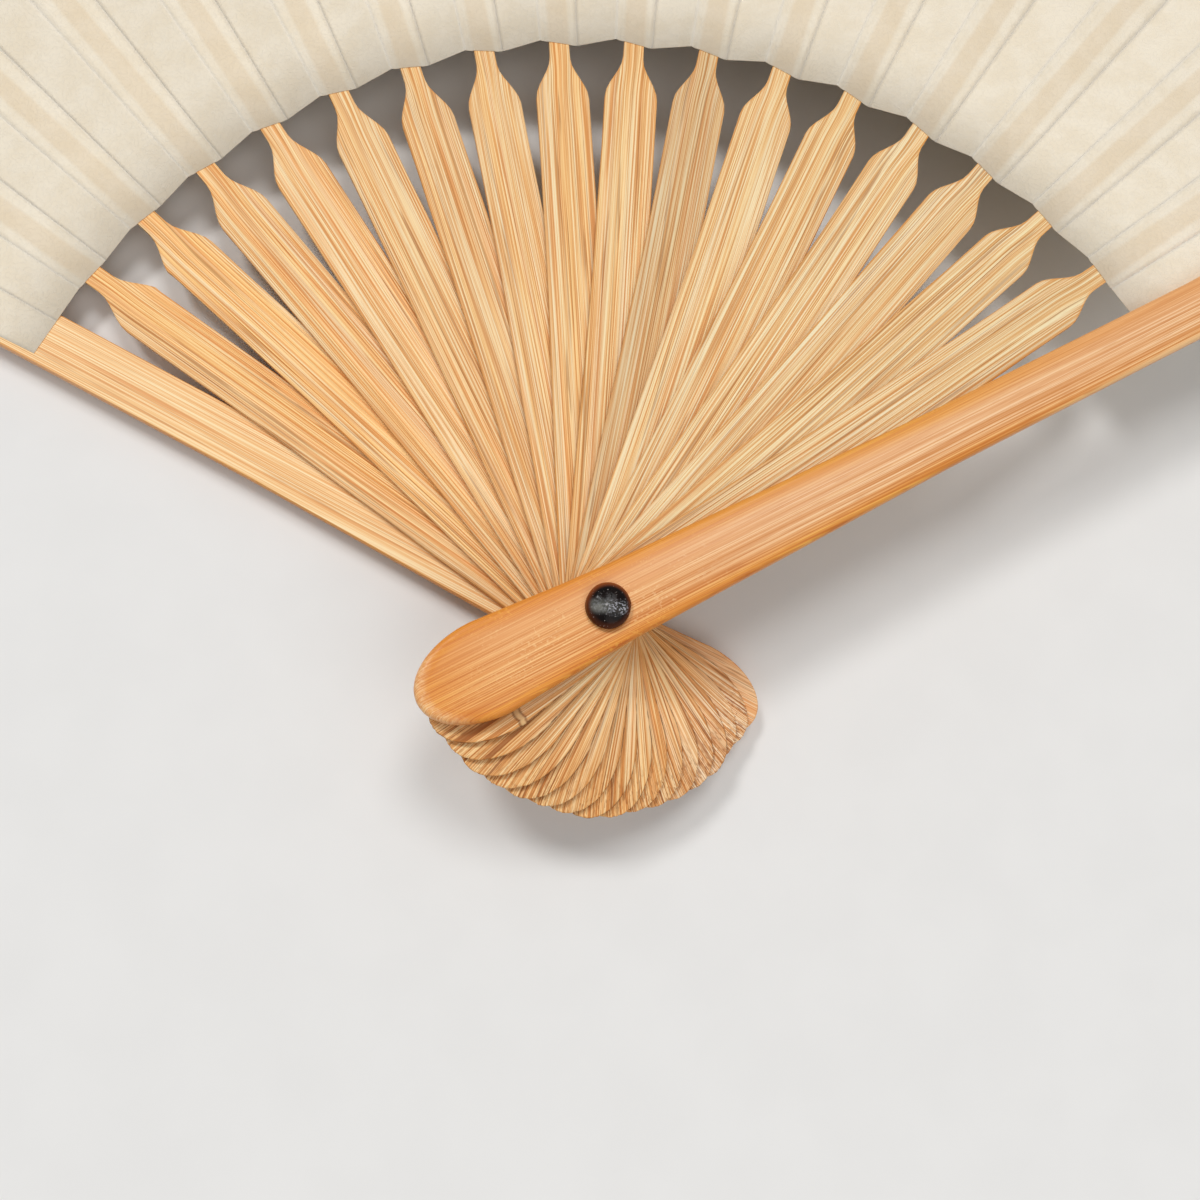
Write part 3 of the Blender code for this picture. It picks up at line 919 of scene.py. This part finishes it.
rib_cuts = [along * MM for along in (-28, -14, -7, 8, 20, 35, 50, 65, 80, 92, 101)]
rib_cuts += [BLADE_REACH + step * 1.2 * MM for step in range(1, 11)]
rib_cuts += [along * MM for along in (130, 170, 210, 250, 275)]
ridge_cuts = [RIDGE_PLACE + step * 0.4 * MM for step in range(-4, 5)]

for index in range(1, RIB_COUNT + 1):
    chance = random.Random(RIB_SEED + index)
    short = (0.2 + 0.8 * chance.random()) * MM
    sides = [rib_side(chance, short, SLIM_SIDES.get((index, side), 0.0)) for side in (0, 1)]
    builder = slat_builder(sides, RIB_THICKNESS)
    round_rim(builder, RIB_THICKNESS, RIB_EDGE, 3)
    round_rim(builder, 0.0, RIB_EDGE, 2)
    inset_faces(builder, RIM_LOOPS)
    has_node = index == NODE_RIB
    cut_across(builder, rib_cuts + (ridge_cuts if has_node else []))
    cut_along(builder, (-3 * MM, 3 * MM))
    marks = rim_marks(builder, inside_rib, RIM_WIDTH)
    for vertex in builder.verts:
        vertex.co = rib_point(vertex.co, index, RIDGE_HEIGHT if has_node else 0.0)
    mesh = mesh_from(builder, f"rib_{index:02d}_split")
    numbers = {
        "rim": marks,
        "seed": GRAIN_STEP * index,
        "grey": GREY_SHARE if index == GREY_RIB else USUAL_GREY * chance.random(),
        "pale": PALE_SHARE if index == PALE_RIB else USUAL_PALE * chance.random(),
        "amber": chance.random(),
        "front": index / RIB_COUNT,
        "node": float(has_node),
    }
    rib = add_piece(mesh, split_bamboo, numbers, stick_matrix(index))
    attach(rib, f"rib_{index:02d}")
    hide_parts(f"rib_{index:02d}")
print(RIB_COUNT, "ribs, each with about", len(mesh.vertices), "points")

# %% [markdown]
# ## The guards
# The guards are drawn like the ribs, but three times as thick, with a generous rounding on the outer face.
# Over the leaf they grow wider, so that they cover the folded paper, and thinner towards their tips. The
# rear guard is the same stick turned over: its rounded face looks down.

# %% Outline of a guard
GUARD_ROUND = 1.0 * MM
GUARD_INNER_ROUND = 0.25 * MM
GUARD_CROWN = 0.20 * MM
GUARD_LOOPS = (0.12 * MM, 0.6 * MM, 0.7 * MM)
GUARD_FADE = 3.8 * MM
GUARD_RAGGED = 0.02 * MM
GUARD_WAVER = 0.03 * MM
END_START = GUARD_REACH - GUARD_END
END_STEPS = 10
COVER_START = (NECK_HALF - GUARD_COVER) / tan(INTERVAL / 4)


def guard_width(along):
    if along < COVER_START:
        return neck_width(along)
    return along * tan(INTERVAL / 4) + GUARD_COVER


def guard_side(chance):
    """One side of a guard, from the tail tip to the far tip."""
    points = tail_side(chance, GUARD_RAGGED, 0.0)
    points += neck_side(chance, GUARD_WAVER, COVER_START)
    for along in (150 * MM, 185 * MM, 220 * MM, 255 * MM):
        points.append((guard_width(along), along))
    for step in range(END_STEPS + 1):
        turn = radians(90) * step / END_STEPS
        across = guard_width(END_START) * cos(turn) if step < END_STEPS else 0.0
        points.append((across, END_START + (GUARD_END - INSIDE) * sin(turn)))
    return points


def inside_guard(x, y):
    if y > END_START:
        out = hypot(x / guard_width(END_START), (y - END_START) / GUARD_END)
        return (1 - out) * GUARD_END
    if y > COVER_START:
        return guard_width(y) - abs(x)
    return inside_tail(x, y)


def guard_point(point, outer_side):
    """Thin a guard towards its tip and crown its outer face; outer_side is 1 for the top, -1 below."""
    share = point.z / GUARD_THICKNESS
    outer = share if outer_side > 0 else 1 - share
    along = max(0.0, (point.y - LEAF_INNER) / (GUARD_REACH - LEAF_INNER))
    drop = along * (GUARD_THICKNESS - GUARD_TIP_THICKNESS)
    drop += GUARD_CROWN * (point.x / guard_width(min(point.y, END_START))) ** 2
    return Vector((point.x, point.y, point.z - outer_side * outer * drop))


print("a guard is", round(2 * guard_width(END_START) / MM, 1), "mm wide near its tip")

# %% Making the guards
GUARD_SEED = 500
GUARD_GRAIN = 71.3
GUARD_GRAIN_STEP = 13.7
FACE_DEPTH = 0.05 * MM

guard_cuts = [along * MM for along in (-14, -7, 10, 25, 40, 55, 75, 95)] + [LEAF_INNER]
guard_cuts += [along * MM for along in (140, 170, 200, 230, 260, 280)]
guard_lanes = [across * MM for across in (-3.6, -2.6, -1.3, 1.3, 2.6, 3.6)]

for name, index, outer_side in (("rear_guard", 0, -1), ("front_guard", FRONT, 1)):
    chance = random.Random(GUARD_SEED + index)
    builder = slat_builder([guard_side(chance), guard_side(chance)], GUARD_THICKNESS)
    outer_level = GUARD_THICKNESS if outer_side > 0 else 0.0
    inner_level = GUARD_THICKNESS - outer_level
    round_rim(builder, outer_level, GUARD_ROUND, 5)
    round_rim(builder, inner_level, GUARD_INNER_ROUND, 2)
    inset_faces(builder, GUARD_LOOPS)
    cut_across(builder, guard_cuts)
    cut_along(builder, guard_lanes)
    marks = rim_marks(builder, inside_guard, GUARD_FADE)
    depths = [abs(vertex.co.z - inner_level) for vertex in builder.verts]
    outside_marks = [float(depth >= FACE_DEPTH) for depth in depths]
    for vertex in builder.verts:
        vertex.co = guard_point(vertex.co, outer_side)
    mesh = mesh_from(builder, f"{name}_varnished")
    seed = GUARD_GRAIN + GUARD_GRAIN_STEP * index
    numbers = {"rim": marks, "outside": outside_marks, "seed": seed}
    guard = add_piece(mesh, varnished_bamboo, numbers, stick_matrix(index))
    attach(guard, name)
    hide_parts(name)
    print(name, "has", len(mesh.vertices), "points")

# %% [markdown]
# ## The rivet
# A turned shape is half a section spun about an axis. The two domes are part of the same pin, so one
# section runs from the top of the upper dome, down the shank, to the flat under the lower one. Noise then
# dents the upper dome, because horn that was pressed while hot never comes out quite even, and draws a
# small nib out of the upper dome's side, where the horn ran out from under the press.

# %% Section of the rivet
SPIN_STEPS = 64
DOME_STEPS = 14
RIM_SHARE = 0.24
DOME_POWER = 2.1
SKIRT = ((0.985, 0.4), (0.95, 0.0))


def dome_side(foot, side, height):
    """Half section of a dome from its top to its foot: flatter in the middle than a circle's arc."""
    points = []
    rim = RIM_SHARE * height
    for step in range(1, DOME_STEPS + 1):
        share = sin(radians(90) * step / DOME_STEPS)
        lift = (1 - share ** DOME_POWER) ** (1 / DOME_POWER)
        points.append((HEAD_RADIUS * share, foot + side * (rim + (height - rim) * lift)))
    for wide, lift in SKIRT:
        points.append((wide * HEAD_RADIUS, foot + side * lift * rim))
    return points


rivet_top = STACK_TOP + HEAD_GAP
section = [(0.0, rivet_top + FRONT_HEAD_HEIGHT)] + dome_side(rivet_top, 1, FRONT_HEAD_HEIGHT)
section += [(SHANK_RADIUS, rivet_top), (SHANK_RADIUS, REAR_HEAD_HEIGHT)]
section += list(reversed(dome_side(REAR_HEAD_HEIGHT, -1, REAR_HEAD_HEIGHT))) + [(0.0, 0.0)]
print("the rivet's section has", len(section), "corners")

# %% Making the rivet
DENT = 0.10 * MM
DENT_SIZE = 1.3 * MM
UNEVEN = 0.025
SQUEEZE = 0.05
NIB = 0.055
NIB_TURN = radians(6)
NIB_WIDTH = radians(9)

builder = bmesh.new()
line = [builder.verts.new((radius, 0, height)) for radius, height in section]
edges = [builder.edges.new(pair) for pair in zip(line, line[1:])]
bmesh.ops.spin(
    builder, geom=line + edges, cent=(0, 0, 0), axis=(0, 0, 1), angle=radians(360),
    steps=SPIN_STEPS, use_merge=True, use_duplicate=False,
)
bmesh.ops.remove_doubles(builder, verts=builder.verts, dist=TOUCHING)
for vertex in builder.verts:
    if vertex.co.z > rivet_top + LEVEL:
        dent = DENT * (0.5 + 0.5 * noise.noise(vertex.co / DENT_SIZE))
        vertex.co.z -= min(dent, 0.5 * (vertex.co.z - rivet_top))
        turn = vertex.co.xy.to_3d().normalized()
        narrow = 1.0 - UNEVEN * (0.5 + 0.5 * noise.noise(turn * 1.4)) - SQUEEZE * turn.x ** 2
        off_nib = (atan2(turn.y, turn.x) - NIB_TURN) / NIB_WIDTH
        narrow += NIB * exp(-off_nib ** 2) * smooth_step(vertex.co.xy.length / HEAD_RADIUS - 0.6)
        vertex.co.x *= narrow
        vertex.co.y *= narrow
bmesh.ops.recalc_face_normals(builder, faces=builder.faces[:])
mesh = mesh_from(builder, "rivet_horn", 70)
rivet = add_piece(mesh, dark_horn, {})
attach(rivet, "rear_guard")
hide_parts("rivet")
print("the rivet has", len(mesh.vertices), "points")

# %% [markdown]
# ## The leaf
# The leaf is one sheet of paper, folded like a bellows. Half of its facets are glued to a stick and move
# with it. A facet between them is free: its edges run along the creases beside two sticks. A glued facet is
# pressed over its stem, so the stem shows as a low ridge. A free facet is ruled between two creases with
# straight lines.

# %% Where the creases lie
PAPER_THICKNESS = 0.12 * MM
GLUE_GAP = 0.02 * MM
REACHES = [reach * MM for reach in (128, 150, 175, 200, 225, 250, 270, 283, 287)]
REACHES = [LEAF_INNER + INSIDE] + REACHES + [LEAF_OUTER - INSIDE]


def leaf_height(index):
    """Height of the middle of the paper over a stick's centre line."""
    if index == 0:
        return REAR_FLOOR + GUARD_THICKNESS + GLUE_GAP + PAPER_THICKNESS / 2
    if index == FRONT:
        return stick_floor(index) - GLUE_GAP - PAPER_THICKNESS / 2
    return stick_floor(index) + STEM_LIFT + STEM_THICKNESS + GLUE_GAP + PAPER_THICKNESS / 2


def half_facet(reach):
    return reach * tan(INTERVAL / 4)


def facet_point(index, across, reach, press=0.0):
    """A point of the facet on a stick, across its stem towards the front guard."""
    height = leaf_height(index) - across * tan(pleat_tilt(index)) - press
    flat = Matrix.Rotation(stick_turn(index), 3, "Z") @ Vector((across, reach, 0))
    return Vector((flat.x, flat.y, height))


def crease(index, side, reach):
    """A point of the crease beside a stick: side is 1 towards the front guard, -1 towards the rear."""
    return facet_point(index, side * half_facet(reach), reach)


facet_widths = [round(2 * half_facet(reach) / MM, 1) for reach in (LEAF_INNER, LEAF_OUTER)]
print("a facet is", facet_widths[0], "mm wide at its inner edge and", facet_widths[1], "at the outer one")

# %% A sheet of paper
def body_name(index):
    """The body of the plain model that a stick's pieces ride on."""
    return {0: "rear_guard", FRONT: "front_guard"}.get(index, f"rib_{index:02d}")


def paper_object(name, rows, numbers):
    """A sheet through rows of points. The thickness comes from a modifier, so that it stays even."""
    wide = len(rows[0])
    faces = []
    for row in range(len(rows) - 1):
        for column in range(wide - 1):
            corner = row * wide + column
            faces.append((corner, corner + 1, corner + 1 + wide, corner + wide))
    mesh = bpy.data.meshes.new(name)
    mesh.from_pydata([point for row in rows for point in row], [], faces)
    mesh.shade_smooth()
    piece = add_piece(mesh, leaf_paper, numbers)
    thick = piece.modifiers.new("thickness", "SOLIDIFY")
    thick.thickness = PAPER_THICKNESS
    thick.offset = 0.0
    return piece


print("the paper is", round(PAPER_THICKNESS / MM, 2), "mm thick")

# %% Glued facets
PRESS = 0.12 * MM
BESIDE_STEM = 0.4 * MM
ON_STEM = 0.3 * MM

for index in range(STICK_COUNT):
    rows = []
    shares = []
    stems = []
    on_guard = index in (0, FRONT)
    for reach in REACHES:
        edge = half_facet(reach)
        stem = stem_width(reach)
        side = (-edge, -(edge + stem) / 2, -(stem + BESIDE_STEM), -(stem - ON_STEM))
        row = []
        for across in side + (0.0,) + tuple(-station for station in reversed(side)):
            over_stem = abs(across) < stem and not on_guard and reach <= STEM_REACH
            at_crease = abs(across) > edge - LEVEL
            press = 0.0 if over_stem or at_crease or on_guard else PRESS
            row.append(facet_point(index, across, reach, press))
            shares.append((across + edge) / (2 * edge))
            stems.append(float(over_stem))
        rows.append(row)
    body = body_name(index)
    node = "leaf_end_strip" if index == FRONT else f"leaf_pleat_{index + 1:02d}"
    facet = paper_object(f"leaf_glued_{index:02d}", rows, {"share": shares, "stem": stems})
    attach(facet, body)
    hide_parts(node)
print(STICK_COUNT, "glued facets")

# %% [markdown]
# ## Free facets
# A free facet spans from the crease beside one stick to the crease beside the next. Below, the common
# perpendicular of the two creases is worked out: the line from one crease to the other for which every
# point of a crease has the same place, at any distance from the pivot.

# %% Free facets
FACET_STEPS = 12
COCKLE = 0.06 * MM
COCKLE_LENGTH = 23 * MM
COCKLE_ACROSS = 1.7
COCKLE_SHIFT = 5.3

for index in range(FRONT):
    rows = []
    shares = []
    for reach in REACHES:
        near = crease(index, 1, reach)
        far = crease(index + 1, -1, reach)
        row = []
        for step in range(FACET_STEPS + 1):
            share = step / FACET_STEPS
            point = near.lerp(far, share)
            place = (reach / COCKLE_LENGTH, share * COCKLE_ACROSS, index * COCKLE_SHIFT)
            wave = noise.noise(Vector(place))
            point.z += COCKLE * wave * sin(pi * share)
            row.append(point)
            shares.append(share)
        rows.append(row)
    facet = paper_object(f"leaf_free_{index + 1:02d}", rows, {"share": shares, "stem": 0.0})
    left = crease(index, 1, LEAF_OUTER)
    left_run = left - crease(index, 1, LEAF_INNER)
    right_end = crease(index + 1, -1, LEAF_OUTER)
    right_run = right_end - crease(index + 1, -1, LEAF_INNER)
    normal = left_run.cross(right_run)
    slope = normal / normal.dot(right_end - left)
    reach_over = slope / slope.length_squared
    tuple(left + reach_over)
    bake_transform(facet)
    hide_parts(f"leaf_pleat_{index + 1:02d}")
print(FRONT, "free facets")
